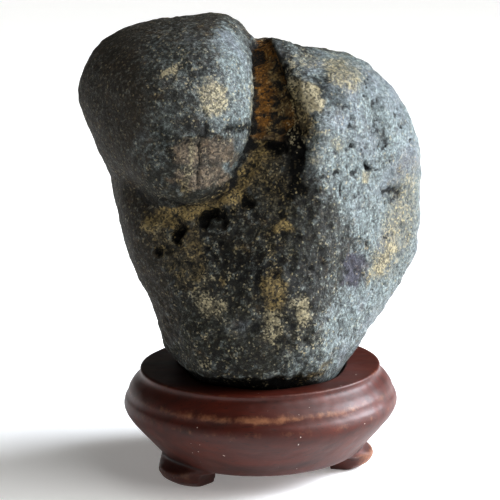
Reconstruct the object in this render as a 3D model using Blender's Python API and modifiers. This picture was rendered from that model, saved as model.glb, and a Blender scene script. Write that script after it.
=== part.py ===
"""A scholar's rock resting in the carved seat of its turned, three-footed wooden stand.

Lengths are written in millimetres and turned into metres when a mesh is made.
+X is the viewer's right, +Y points away from the viewer and +Z is up. The
origin is on the surface that the stand rests on, under the middle of the whole object.
Bearings are in degrees round the vertical: 0 faces the viewer, 90 the viewer's right.
"""

import math

import bmesh
import bpy
import numpy as np
from mathutils import Matrix, Vector, noise

MM = 0.001
GAP = 0.3                    # air between the rock and its seat

# Stand, one piece of wood: a turned body whose feet are cut from its lower edge
AXIS_X = 1.5                 # the turning axis, right of the whole object's middle
TURNED_STEPS = 56
PLATE_TOP = 35.0
UNDERSIDE = 6.5
# radius and height down the turned side, from the plate to the bottom edge
TURNED_PROFILE = [
    (0.0, PLATE_TOP),
    (35.8, PLATE_TOP),
    (37.7, 34.7),
    (38.6, 34.0),
    (38.7, 33.3),
    (38.1, 32.7),
    (37.3, 32.3),
    (38.4, 31.5),
    (39.9, 30.5),
    (41.3, 29.2),
    (42.2, 27.9),
    (42.5, 26.8),
    (43.3, 25.9),
    (44.3, 24.7),
    (44.6, 23.2),
    (44.2, 21.5),
    (43.0, 19.4),
    (41.0, 16.9),
    (38.4, 13.9),
    (35.8, 10.9),
    (33.8, 8.6),
    (32.4, 7.2),
    (31.2, UNDERSIDE),
    (0.0, UNDERSIDE),
]

# Seat carved into the plate for the foot of the rock
SEAT_FLOOR = 31.6
SEAT_CLEARANCE = 0.7
SEAT_STEPS = 40
SEAT_CUT_HEIGHT = 8.0
SEAT_LEVEL = PLATE_TOP + 0.8  # the seat follows the rock's section up to here

# Feet
FOOT_BEARINGS = (-58.0, 91.0, 197.0)
FOOT_INNER_RADIUS = 23.0
FOOT_CUTS_ACROSS = 11
FOOT_BULGE = 2.5             # power of the curve across a foot's outer face
# height, half width in degrees, outer radius at the middle and at the ends
FOOT_LEVELS = [
    (0.0, 15.0, 31.8, 28.6),
    (0.5, 16.4, 33.2, 29.6),
    (2.0, 17.4, 35.8, 31.6),
    (4.0, 18.6, 37.0, 32.4),
    (5.2, 20.5, 36.6, 32.0),
    (6.0, 26.5, 35.4, 31.5),
    (7.3, 34.0, 34.0, 30.7),
    (8.8, 36.0, 33.0, 30.0),
]

# Rock
ROCK_SUBDIVISIONS = 7
ROCK_TRIANGLES = 6300
ROCK_GRAIN = 0.9             # spacing of the even mesh before it is thinned
ROCK_HEART = (1.0, 1.0, 92.0)
ROCK_BOTTOM = SEAT_FLOOR + GAP
BEDDING = 2.6                # how much of the rounded underside is worn flat in the seat
KNOB_BLEND = 0.9             # width of the soft crease round the knob
BODY_BLEND = 4.0             # the same where the shoulder runs into the lower body
SWELL_SIZE = 17.0            # size of the low swells all over the rock
SWELL_HEIGHT = 0.7
OUTLINE_BINS = 200           # directions in which the outline is compared
RAY_NEAR = 12.0              # the rock's surface lies between these distances from its heart
RAY_FAR = 100.0
RAY_HALVINGS = 26
FOOT_FADE = (1.0, 11.0)      # heights over the rock's bottom where the swells fade in
STROKE_FACING = (4.0, 0.6)   # how quickly a groove fades where the surface turns away
WEAR_FACTOR = 0.5
WEAR_ROUNDS = 3
SHARP_ANGLE = 40.0

# Each lump is a rounded many-sided body: its middle, how crisp its edges are,
# and its faces as bearing, elevation and a point that the face passes through.
LOWER_BODY = {
    "middle": (0.0, 2.0, 76.0),
    "crispness": 14.0,
    "faces": [
        (-12, 24, (6.0, -24.0, 110.0)),
        (2, -2, (-3.0, -38.4, 75.0)),
        (-46, -8, (-32.0, -29.0, 75.0)),
        (-84, -14, (-41.5, -5.0, 76.0)),
        (46, -14, (31.0, -28.0, 60.0)),
        (84, -34, (45.0, 0.0, 56.0)),
        (60, 12, (14.0, -22.0, 108.0)),
        (-48, -52, (-19.0, -29.0, 38.6)),
        (52, -34, (23.0, -28.0, 37.5)),
        (-80, 50, (-45.0, 0.0, 112.0)),
        (90, 62, (20.0, 0.0, 134.0)),
        (0, 88, (0.0, 0.0, 139.5)),
        (180, 34, (0.0, 30.0, 116.0)),
        (180, -10, (0.0, 39.0, 78.0)),
        (128, -18, (32.0, 29.0, 68.0)),
        (-134, -12, (-33.0, 26.0, 76.0)),
        (160, -50, (10.0, 31.0, 42.0)),
        (0, -90, (0.0, 0.0, ROCK_BOTTOM - BEDDING)),
    ],
}
KNOB = {
    "middle": (-23.0, -2.0, 118.0),
    "crispness": 9.0,
    "faces": [
        (-10, 2, (-25.0, -38.5, 118.0)),
        (34, 3, (-8.0, -34.5, 115.0)),
        (86, 0, (3.2, -20.0, 120.0)),
        (-50, 0, (-43.0, -27.0, 120.0)),
        (-92, -16, (-54.5, 0.0, 118.0)),
        (-62, -42, (-46.0, -18.0, 103.0)),
        (-4, -58, (-18.0, -35.0, 94.5)),
        (52, -44, (-2.5, -31.0, 103.0)),
        (0, 86, (-20.0, 0.0, 149.5)),
        (-12, 46, (-24.0, -27.0, 142.0)),
        (-55, 44, (-43.0, -17.0, 139.0)),
        (-92, 46, (-47.0, 0.0, 141.0)),
        (64, 44, (-2.0, -14.0, 143.0)),
        (178, 8, (-22.0, 35.0, 118.0)),
        (-140, 12, (-43.0, 22.0, 118.0)),
        (120, 10, (0.0, 22.0, 118.0)),
        (180, 50, (-22.0, 25.0, 141.0)),
        (175, -46, (-22.0, 27.0, 101.0)),
        (-122, -40, (-42.0, 14.0, 101.0)),
        (120, -40, (-4.0, 20.0, 100.0)),
    ],
}
SHOULDER = {
    "middle": (24.0, 3.0, 90.0),
    "crispness": 9.0,
    "faces": [
        (48, 0, (36.0, -15.0, 95.0)),
        (-66, 5, (12.5, -26.0, 114.0)),
        (-44, -2, (15.0, -35.5, 92.0)),
        (-4, -4, (19.0, -39.0, 84.0)),
        (-4, 26, (15.5, -27.0, 126.0)),
        (8, 52, (17.0, -14.0, 137.0)),
        (54, 36, (39.0, -14.0, 120.0)),
        (90, 4, (55.0, 4.0, 92.0)),
        (88, 36, (50.0, 2.0, 118.0)),
        (85, 66, (28.0, 0.0, 135.5)),
        (86, -34, (48.0, 2.0, 60.0)),
        (46, -22, (35.0, -22.0, 60.0)),
        (0, 86, (16.0, 0.0, 139.0)),
        (130, 0, (41.0, 28.0, 90.0)),
        (178, 0, (20.0, 39.0, 90.0)),
        (-140, 8, (2.0, 27.0, 92.0)),
        (175, 48, (20.0, 28.0, 123.0)),
        (150, -36, (29.0, 27.0, 52.0)),
        (0, -90, (0.0, 0.0, ROCK_BOTTOM - BEDDING)),
    ],
}

# Outline of the rock seen from the front, clockwise from the lower left, as x and z
ROCK_OUTLINE = [
    (-23.0, ROCK_BOTTOM - BEDDING),
    (-29.4, 39.8),
    (-34.3, 56.7),
    (-39.6, 68.4),
    (-42.5, 80.0),
    (-44.7, 91.4),
    (-46.9, 102.2),
    (-50.2, 110.3),
    (-53.9, 120.6),
    (-54.7, 125.4),
    (-53.9, 130.2),
    (-49.9, 138.0),
    (-42.7, 143.6),
    (-34.5, 146.5),
    (-21.8, 148.2),
    (-10.5, 149.1),
    (-4.2, 147.3),
    (0.1, 142.2),
    (1.8, 141.4),
    (7.0, 142.4),
    (15.8, 138.4),
    (23.4, 136.8),
    (33.4, 134.0),
    (43.0, 126.5),
    (50.8, 117.0),
    (55.0, 105.3),
    (55.2, 97.2),
    (54.6, 83.2),
    (53.8, 69.0),
    (46.4, 56.0),
    (36.4, 44.7),
    (25.0, ROCK_BOTTOM - BEDDING),
]

# Grooves and hollows: side (-1 front, 1 back), width, depth, then points as x and z
ROCK_STROKES = {
    "cleft beside the knob": (
        -1, 1.5, 1.6,
        [(1.9, 137.0), (2.2, 132.8), (2.5, 124.3), (2.3, 114.8), (0.8, 110.2)],
    ),
    "cleft under the knob": (
        -1, 1.4, 1.4,
        [(0.8, 110.2), (-2.0, 105.6), (-6.0, 97.8), (-14.7, 94.0), (-21.6, 92.8), (-28.2, 95.5)],
    ),
    "brow": (-1, 1.8, 0.7, [(-24.0, 116.6), (-13.6, 115.2), (-8.0, 114.2), (1.4, 115.0)]),
    "hollow under the brow": (-1, 6.5, 1.5, [(-19.0, 108.0), (-6.0, 107.0)]),
    "wedge between knob and shoulder": (-1, 3.4, 2.2, [(5.2, 136.0), (7.0, 126.0), (8.0, 117.0)]),
    "crack in the knob": (-1, 0.8, 1.0, [(-14.1, 123.0), (-13.8, 117.5), (-15.4, 112.0), (-16.9, 103.4)]),
    "waist below the knob": (-1, 5.0, 1.2, [(-40.0, 100.0), (-33.0, 94.0), (-24.0, 90.0)]),
    "long pit": (-1, 1.3, 2.6, [(-22.2, 87.0), (-23.0, 84.4)]),
    "left pit": (-1, 1.5, 1.4, [(-28.4, 81.0), (-29.0, 79.0)]),
    "curved pit": (-1, 1.5, 1.7, [(-16.0, 88.4), (-14.6, 91.0), (-11.5, 90.5)]),
    "hook pit": (-1, 1.2, 1.0, [(-4.0, 92.6), (-2.0, 94.2)]),
    "valley pit": (-1, 2.0, 2.0, [(4.6, 109.4), (8.6, 109.8)]),
    "lower valley pit": (-1, 1.6, 1.4, [(3.0, 98.0), (5.0, 97.4)]),
    "ring pit": (-1, 1.6, 1.1, [(-11.7, 79.4), (-11.7, 78.6)]),
    "shoulder dent": (-1, 3.0, 1.0, [(30.0, 119.0), (31.5, 116.0)]),
    "shoulder groove": (-1, 1.6, 1.0, [(39.0, 118.0), (40.5, 110.0)]),
    "upper shoulder dent": (-1, 2.2, 0.9, [(34.0, 123.0), (37.0, 120.0)]),
    "side hollow": (-1, 3.2, 1.6, [(43.0, 94.0), (44.5, 91.0)]),
    "pinhole": (-1, 0.9, 1.2, [(37.2, 101.0), (37.6, 100.2)]),
    "back valley": (1, 6.0, 3.2, [(6.0, 136.0), (3.0, 118.0), (-6.0, 104.0), (-20.0, 94.0)]),
    "back groove": (1, 2.2, 1.6, [(30.0, 112.0), (24.0, 98.0), (22.0, 84.0)]),
    "back hollow": (1, 6.5, 2.2, [(-14.0, 72.0), (-8.0, 66.0)]),
    "back pit": (1, 1.8, 2.0, [(12.0, 76.0), (14.0, 74.0)]),
    "small back pit": (1, 1.5, 1.5, [(-26.0, 110.0), (-27.0, 107.0)]),
}


def direction(bearing, elevation):
    """Unit vector of a bearing and elevation in degrees."""
    turn = math.radians(bearing)
    rise = math.radians(elevation)
    return np.array([
        math.sin(turn) * math.cos(rise),
        -math.cos(turn) * math.cos(rise),
        math.sin(rise),
    ])


def lump_distance(points, lump):
    """Rough signed distance in mm to a rounded many-sided lump."""
    offsets = points - np.array(lump["middle"])
    crispness = lump["crispness"]
    total = np.full(len(points), 1e-12)
    for bearing, elevation, on_face in lump["faces"]:
        normal = direction(bearing, elevation)
        reach = (np.array(on_face) - lump["middle"]) @ normal
        height = offsets @ normal / reach
        total += np.maximum(height, 0.0) ** crispness
    level = total ** (1.0 / crispness)
    return (level - 1.0) * np.linalg.norm(offsets, axis=1) / np.maximum(level, 0.05)


def join_softly(first, second, blend):
    """Distance to two shapes run together over a crease of the given width."""
    nearer = np.minimum(first, second)
    further = np.maximum(first, second)
    return nearer - blend * np.log1p(np.exp((nearer - further) / blend))


def rock_distance(points):
    """Rough signed distance to the three lumps, softly joined."""
    body = join_softly(
        lump_distance(points, LOWER_BODY), lump_distance(points, SHOULDER), BODY_BLEND
    )
    return join_softly(body, lump_distance(points, KNOB), KNOB_BLEND)


def lay_on_lumps(directions):
    """Points where rays from the rock's heart leave the joined lumps."""
    heart = np.array(ROCK_HEART)
    near = np.full(len(directions), RAY_NEAR)
    far = np.full(len(directions), RAY_FAR)
    for _ in range(RAY_HALVINGS):
        middle = (near + far) / 2
        inside = rock_distance(heart + directions * middle[:, None]) < 0
        near = np.where(inside, middle, near)
        far = np.where(inside, far, middle)
    return heart + directions * near[:, None]


def outline_reach(outline, angles):
    """Distance from the rock's heart to a closed outline, at each angle in the front view."""
    corners = np.array(outline + outline[:1])
    steps = np.arange(0, len(outline), 0.05)
    x = np.interp(steps, np.arange(len(corners)), corners[:, 0]) - ROCK_HEART[0]
    z = np.interp(steps, np.arange(len(corners)), corners[:, 1]) - ROCK_HEART[2]
    return np.interp(angles, np.arctan2(z, x)[::-1], np.hypot(x, z)[::-1], period=2 * math.pi)


def fit_outline(points):
    """Stretches the rock in the front view to ROCK_OUTLINE, and beds it flat underneath."""
    x = points[:, 0] - ROCK_HEART[0]
    z = points[:, 2] - ROCK_HEART[2]
    angles = np.arctan2(z, x)
    index = ((angles + math.pi) / (2 * math.pi) * OUTLINE_BINS).astype(int) % OUTLINE_BINS
    reach = np.zeros(OUTLINE_BINS)
    np.maximum.at(reach, index, np.hypot(x, z))
    centres = (np.arange(OUTLINE_BINS) + 0.5) / OUTLINE_BINS * 2 * math.pi - math.pi
    stretch = outline_reach(ROCK_OUTLINE, centres) / reach
    stretch = (np.roll(stretch, 1) + 2 * stretch + np.roll(stretch, -1)) / 4
    scale = np.interp(angles, centres, stretch, period=2 * math.pi)
    fitted = points.copy()
    fitted[:, 0] = ROCK_HEART[0] + x * scale
    fitted[:, 2] = np.maximum(ROCK_HEART[2] + z * scale, ROCK_BOTTOM)
    return fitted


def distance_to_path(x, z, path):
    """Shortest distance in the front view from each point to a path."""
    best = np.full(len(x), 1e9)
    for (x0, z0), (x1, z1) in zip(path, path[1:]):
        run = np.array([x1 - x0, z1 - z0])
        along = ((x - x0) * run[0] + (z - z0) * run[1]) / (run @ run)
        along = np.clip(along, 0.0, 1.0)
        best = np.minimum(best, np.hypot(x - x0 - along * run[0], z - z0 - along * run[1]))
    return best


def positions(mesh):
    points = np.empty(len(mesh.vertices) * 3)
    mesh.vertices.foreach_get("co", points)
    return points.reshape(-1, 3)


def normals(mesh):
    values = np.empty(len(mesh.vertices) * 3)
    mesh.vertices.foreach_get("normal", values)
    return values.reshape(-1, 3)


def place(mesh, points):
    mesh.vertices.foreach_set("co", points.ravel())
    mesh.update()


def raise_swells(mesh):
    """Low rounded swells and dips, such as slow wear leaves."""
    points = positions(mesh)
    outward = normals(mesh)
    rise = [noise.fractal(Vector(p / (SWELL_SIZE * MM)), 1.0, 2.0, 3) for p in points]
    above = points[:, 2] / MM - ROCK_BOTTOM
    firm = np.interp(above, FOOT_FADE, (0.0, 1.0))
    points = points + outward * (np.array(rise) * firm * SWELL_HEIGHT * MM)[:, None]
    place(mesh, points)


def cut_strokes(mesh):
    """Sinks the named grooves and pits into the rock."""
    points = positions(mesh) / MM
    outward = normals(mesh)
    for side, width, depth, path in ROCK_STROKES.values():
        away = distance_to_path(points[:, 0], points[:, 2], path)
        facing = np.clip(side * outward[:, 1] * STROKE_FACING[0] + STROKE_FACING[1], 0.0, 1.0)
        sink = depth * np.exp(-((away / width) ** 2)) * facing
        points = points - outward * sink[:, None]
    place(mesh, points * MM)


def evaluated_triangles(piece):
    """How many triangles a piece has with the modifiers it has so far."""
    graph = bpy.context.evaluated_depsgraph_get()
    evaluated = piece.evaluated_get(graph)
    mesh = evaluated.to_mesh()
    mesh.calc_loop_triangles()
    count = len(mesh.loop_triangles)
    evaluated.to_mesh_clear()
    return count


def build_rock(collection, material):
    bpy.ops.mesh.primitive_ico_sphere_add(subdivisions=ROCK_SUBDIVISIONS, radius=1.0)
    rock = bpy.context.object
    rock.name = "rock"
    mesh = rock.data
    directions = positions(mesh)
    directions /= np.linalg.norm(directions, axis=1)[:, None]
    place(mesh, fit_outline(lay_on_lumps(directions)) * MM)
    raise_swells(mesh)
    cut_strokes(mesh)
    even = rock.modifiers.new("Even mesh", "REMESH")
    even.mode = "VOXEL"
    even.voxel_size = ROCK_GRAIN * MM
    even.use_smooth_shade = True
    worn = rock.modifiers.new("Worn edges", "SMOOTH")
    worn.factor = WEAR_FACTOR
    worn.iterations = WEAR_ROUNDS
    thinner = rock.modifiers.new("Fewer faces", "DECIMATE")
    thinner.ratio = ROCK_TRIANGLES / evaluated_triangles(rock)
    finish_piece(rock, collection, material)
    return rock


def seat_cutter(rock, collection):
    """The carved seat: a flat-floored pocket that follows the foot of the rock."""
    points = positions(rock.data) / MM
    low = points[points[:, 2] < SEAT_LEVEL]
    x = low[:, 0] - AXIS_X
    y = low[:, 1]
    mesh = bpy.data.meshes.new("seat_cutter")
    shape = bmesh.new()
    bmesh.ops.create_circle(shape, cap_ends=True, segments=SEAT_STEPS, radius=1.0)
    for vertex in shape.verts:
        toward = np.array([vertex.co.x, vertex.co.y])
        reach = (x * toward[0] + y * toward[1]).max() + SEAT_CLEARANCE
        vertex.co.x = toward[0] * reach
        vertex.co.y = toward[1] * reach
    upward = bmesh.ops.extrude_face_region(shape, geom=shape.faces[:])["geom"]
    raised = [item for item in upward if isinstance(item, bmesh.types.BMVert)]
    bmesh.ops.translate(shape, verts=raised, vec=(0.0, 0.0, SEAT_CUT_HEIGHT))
    bmesh.ops.recalc_face_normals(shape, faces=shape.faces[:])
    bmesh.ops.transform(
        shape,
        matrix=Matrix.Scale(MM, 4) @ Matrix.Translation((AXIS_X, 0.0, SEAT_FLOOR)),
        verts=shape.verts[:],
    )
    shape.to_mesh(mesh)
    shape.free()
    return make_helper("seat_cutter", mesh, collection)


def build_stand(collection, cutters, material, seat):
    mesh = bpy.data.meshes.new("stand")
    outline = [(radius * MM, 0.0, height * MM) for radius, height in TURNED_PROFILE]
    mesh.from_pydata(outline, [(i, i + 1) for i in range(len(outline) - 1)], [])
    stand = bpy.data.objects.new("stand", mesh)
    stand.location.x = AXIS_X * MM
    turned = stand.modifiers.new("Turned", "SCREW")
    turned.steps = TURNED_STEPS
    turned.render_steps = TURNED_STEPS
    turned.use_merge_vertices = True
    turned.merge_threshold = 0.00001
    carved = stand.modifiers.new("Seat", "BOOLEAN")
    carved.operation = "DIFFERENCE"
    carved.object = seat
    for number, bearing in enumerate(FOOT_BEARINGS, 1):
        join = stand.modifiers.new(f"Foot {number}", "BOOLEAN")
        join.operation = "UNION"
        join.object = foot_shape(f"foot_shape_{number}", bearing, cutters)
    finish_piece(stand, collection, material)
    return stand


def foot_shape(name, bearing, collection):
    """One bulging foot, wide where it springs from the lower edge and rounded below."""
    mesh = bpy.data.meshes.new(name)
    shape = bmesh.new()
    bmesh.ops.create_cube(shape, size=1.0)
    crosswise = [e for e in shape.edges if abs(e.verts[0].co.x - e.verts[1].co.x) > 0.5]
    bmesh.ops.subdivide_edges(shape, edges=crosswise, cuts=FOOT_CUTS_ACROSS, use_grid_fill=True)
    upright = [e for e in shape.edges if abs(e.verts[0].co.z - e.verts[1].co.z) > 0.5]
    bmesh.ops.subdivide_edges(shape, edges=upright, cuts=len(FOOT_LEVELS) - 2, use_grid_fill=True)
    heights, widths, middles, ends = zip(*FOOT_LEVELS)
    for vertex in shape.verts:
        level = (vertex.co.z + 0.5) * (len(FOOT_LEVELS) - 1)
        steps = range(len(FOOT_LEVELS))
        across = vertex.co.x * 2
        turn = math.radians(bearing + across * np.interp(level, steps, widths))
        end = np.interp(level, steps, ends)
        radius = end + (np.interp(level, steps, middles) - end) * (1 - abs(across) ** FOOT_BULGE)
        if vertex.co.y > 0:
            radius = FOOT_INNER_RADIUS
        height = np.interp(level, steps, heights)
        vertex.co = Vector((radius * math.sin(turn), -radius * math.cos(turn), height)) * MM
    bmesh.ops.translate(shape, verts=shape.verts[:], vec=(AXIS_X * MM, 0.0, 0.0))
    bmesh.ops.recalc_face_normals(shape, faces=shape.faces[:])
    shape.to_mesh(mesh)
    shape.free()
    return make_helper(name, mesh, collection)


def make_helper(name, mesh, collection):
    """A shape that only cuts or joins, and isn't a part itself."""
    helper = bpy.data.objects.new(name, mesh)
    helper.hide_render = True
    helper.display_type = "WIRE"
    collection.objects.link(helper)
    return helper


def finish_piece(piece, collection, material):
    """Puts a piece in the object's collection alone, and gives it its material."""
    for other in piece.users_collection:
        other.objects.unlink(piece)
    collection.objects.link(piece)
    piece.data.materials.append(material)
    piece.data.shade_smooth()
    piece.data.set_sharp_from_angle(angle=math.radians(SHARP_ANGLE))


def new_material(name, colour, roughness):
    material = bpy.data.materials.new(name)
    material.use_nodes = True
    shader = material.node_tree.nodes["Principled BSDF"]
    shader.inputs["Base Color"].default_value = (*colour, 1.0)
    shader.inputs["Roughness"].default_value = roughness
    shader.inputs["Metallic"].default_value = 0.0
    material.diffuse_color = (*colour, 1.0)
    return material


def new_collection(name):
    collection = bpy.data.collections.new(name)
    bpy.context.scene.collection.children.link(collection)
    return collection


def main():
    for item in list(bpy.data.objects):
        bpy.data.objects.remove(item, do_unlink=True)
    parts = new_collection("scholars_rock")
    cutters = new_collection("cutters")
    stone = new_material("dark water-worn stone", (0.045, 0.048, 0.042), 0.5)
    wood = new_material("dark red lacquered wood", (0.07, 0.018, 0.012), 0.35)
    rock = build_rock(parts, stone)
    build_stand(parts, cutters, wood, seat_cutter(rock, cutters))


main()
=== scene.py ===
"""Dresses a scholar's rock and its turned wooden stand, and sets up a plain stage for them.

Lengths are in millimetres up to the point where a mesh or a node takes metres, and the stage's
are in metres. +X is the viewer's right, +Y points away from the viewer and +Z is up.
"""

import math
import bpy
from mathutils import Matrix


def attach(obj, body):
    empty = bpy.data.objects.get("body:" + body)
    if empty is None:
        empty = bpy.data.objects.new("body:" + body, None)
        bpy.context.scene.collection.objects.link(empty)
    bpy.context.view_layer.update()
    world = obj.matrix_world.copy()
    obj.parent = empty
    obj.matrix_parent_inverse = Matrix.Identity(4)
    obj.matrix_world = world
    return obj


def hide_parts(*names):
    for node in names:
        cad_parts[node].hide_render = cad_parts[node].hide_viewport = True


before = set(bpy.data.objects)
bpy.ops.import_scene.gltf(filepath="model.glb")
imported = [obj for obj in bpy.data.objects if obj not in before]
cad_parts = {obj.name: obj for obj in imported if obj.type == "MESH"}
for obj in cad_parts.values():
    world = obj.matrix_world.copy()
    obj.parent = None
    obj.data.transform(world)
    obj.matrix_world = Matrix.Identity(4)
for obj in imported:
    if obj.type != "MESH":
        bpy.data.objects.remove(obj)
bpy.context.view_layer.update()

from types import SimpleNamespace

import bmesh
import bpy
import numpy as np
from bpy.props import FloatProperty, FloatVectorProperty, IntProperty, PointerProperty
from mathutils import Matrix, Vector, kdtree, noise

bl_info = {
    "name": "Scholar's Rock on a Turned Stand",
    "version": (1, 0, 0),
    "blender": (4, 5, 0),
    "location": "View3D > Sidebar > Scholar's Rock",
    "description": "Weathers the stone, finishes the wooden stand and sets up a plain stage",
    "category": "Object",
}

MM = 0.001
MERGE_DISTANCE = 0.01 * MM
MIX_A, MIX_B, MIX_RESULT = 6, 7, 2  # the colour sockets of a Mix node

# ---------- stone relief

# Cuts into the front of the stone: half width and depth in mm, then points as x and z
FRONT_CUTS = {
    "cleft beside the knob": (0.7, 1.7, [
        (1.3, 140), (1.5, 135), (1.6, 126.4), (1.4, 117.7), (0.4, 113.9), (-1.2, 108.9),
    ]),
    "cleft under the knob": (0.55, 0.9, [
        (-1.2, 108.9), (-4.3, 103.1), (-7.5, 96.5), (-14.3, 93.2), (-20.2, 93), (-27.2, 96.1),
    ]),
    "crack in the knob": (0.4, 0.7, [
        (-14.2, 123.3), (-13.7, 120), (-14, 116.2), (-15.2, 113.7), (-15.8, 109.1),
        (-16.1, 105.6), (-16.8, 98.5),
    ]),
    "brow shadow": (1.1, 0.8, [(-6.4, 116.2), (-3.5, 115.7), (-0.8, 115.9)]),
    "long pit": (0.95, 2.8, [(-22, 85.9), (-23.9, 82.4)]),
    "left pit": (1.5, 1.6, [(-29.1, 78.6), (-29.3, 78)]),
    "curved pit": (1.3, 2.6, [(-15.2, 87.6), (-14.8, 89.8), (-12.4, 90.6), (-9.6, 90)]),
    "end of the curved pit": (1, 1.1, [(-9.6, 90), (-8.2, 88.2), (-8.8, 86.8)]),
    "hook pit": (1.7, 1.4, [(-1.9, 93.9), (-1, 93.6)]),
    "valley hollow": (1.5, 1.5, [(4.8, 110), (7.2, 110.6), (9.4, 110)]),
    "pinhole": (0.75, 1.8, [(35.7, 102.9), (36, 101.9)]),
    "long shoulder dent": (1.9, 1.2, [(39.1, 121.8), (40.2, 112.5), (41.4, 107.8)]),
    "curved shoulder groove": (1, 0.8, [(29.1, 121.2), (30.4, 117.7), (30.3, 115.3)]),
    "upper shoulder nick": (0.9, 0.6, [(36.5, 127.7), (35.5, 123.8)]),
    "outer shoulder dent": (1.5, 0.9, [(46.1, 117), (48.9, 112.8)]),
    "outer dot": (0.5, 0.7, [(50.8, 107.6), (50.8, 107.2)]),
    "side hollow": (2.8, 1.4, [(43.8, 92.2), (44.4, 90.4)]),
    "shoulder pit": (0.9, 0.9, [(31.7, 101.3), (31.7, 100.5)]),
    "short upright groove": (0.6, 0.8, [(27.4, 98.4), (27.1, 95)]),
    "twin pit": (0.9, 0.8, [(25.6, 101.5), (26.2, 101.5)]),
    "upper pit": (0.8, 0.8, [(31, 109.8), (31.4, 109.2)]),
    "hole in the facet": (0.6, 1.2, [(-20.9, 99.4), (-20.9, 98.7)]),
    "ring pit": (1.3, 0.9, [(-12.6, 77.4), (-11.6, 77.4)]),
    "ledge pit": (1, 1, [(-26.6, 80.2), (-26, 79)]),
    "low pit": (1, 0.9, [(-20.4, 76.4), (-19.8, 75.4)]),
    "ochre nick": (0.6, 0.7, [(35.3, 78.6), (35.6, 77.2)]),
}

# The same in the back
BACK_CUTS = {
    "back cleft": (1.1, 0.9, [(8, 130), (5, 118), (-2, 108), (-10, 101)]),
    "end of the back cleft": (0.9, 0.4, [(-10, 101), (-20, 97), (-27, 97)]),
    "back groove": (1.6, 0.5, [(30, 108), (26, 98), (24, 88)]),
    "back pit": (1.3, 1.8, [(12, 76.5), (13.6, 74.8)]),
    "round back pit": (1.6, 1.3, [(-12, 74), (-10.6, 72.4)]),
    "high back pit": (1.2, 1.2, [(-26, 112), (-27.2, 108)]),
    "low back pit": (1.4, 1.1, [(4, 52), (6.4, 51)]),
    "back nick": (0.6, 0.8, [(38, 92), (40, 86)]),
}

# Flat recesses in the front: depth, half width, width of the edge, then points as x and z
FRONT_RECESSES = {
    "facet under the brow": (0.7, 8, 3, [(-20.5, 107), (-9, 107.8)]),
    "violet facet": (0.35, 4, 1.6, [(31, 72.8), (31.6, 67)]),
    "left slope of the shoulder": (0.8, 2.4, 1.6, [(12.6, 131), (14.4, 121), (14.6, 108)]),
}

# Places where the stone stands out again: height and half width in mm, then points as x and z
FRONT_RISES = {
    "bench under the knob": (1.5, 4, [(-27, 93.6), (-20, 92), (-9, 94)]),
    "cream crust": (0.4, 2.6, [(13.4, 127.6), (17.6, 125.6), (19.6, 123.4)]),
    "upper cream crust": (0.3, 3.2, [(25.2, 132), (31.6, 128.2)]),
    "worn end of the brow": (0.5, 1.3, [(-23, 116.6), (-15, 115.4), (-9, 115)]),
    "rim of the ring pit": (0.3, 0.8, [
        (-14.6, 77.4), (-12.1, 80), (-9.6, 77.4), (-12.1, 74.8), (-14.6, 77.4),
    ]),
}

# The ridge that parts the dark front from the worn right side, as height and x
RIDGE = [
    (37.5, 20), (50.5, 20.6), (59.2, 23.3), (64.8, 26.6), (70.7, 28.6), (76.8, 30.6),
    (85.2, 28.3), (96.5, 22.7), (104.5, 18.1), (115.3, 16.6), (125, 16), (141, 13),
]

# Where the edges of the front keep their sharpness, as x and z
CRISP_PATH = [(-27.2, 96.1), (-7.5, 96.5), (1.4, 117.7), (8, 141)]

# The knob's lower edge, as x and z
KNOB_EDGE = [(-46, 104), (-31, 97), (-20.2, 93), (-7.5, 96.5), (-1.2, 108.9)]

# The rusty wedge between the knob and the shoulder, as x of its two sides at each height
WEDGE_LEFT = [(108, -1.4), (113.9, 0.4), (117.7, 1.4), (126.4, 1.6), (141, 1.3)]
WEDGE_RIGHT = [(108, 15), (115.8, 15), (120.9, 13.6), (126.6, 11.8), (132.3, 10), (141, 6.6)]
WEDGE_DEPTH = 1.3  # how far the wedge lies below the knob and the shoulder
UNDERCUT = 2.4  # how far the foot is worn back over the seat at the front left

SEATED = (35.5, 39)  # heights between which the weathering fades in
SOFTENING_ROUNDS = 60
PIT_COUNT = 900
PIT_SEED = 11
PITTED_HEIGHT = 88  # height of the middle of the most pitted band of the front
PITTED_REACH = 22  # half the height of that band
HOLLOW_ROUNDS = 14  # how wide the surroundings are that a hollow is compared with
FULL_HOLLOW = 0.22  # depth at which a hollow is at its darkest, and a rise at its palest
STONE_EDGE_ROUNDS = 5
REMESH_EXCESS = 1.5  # squares that the remesher uses for each square's area

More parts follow.
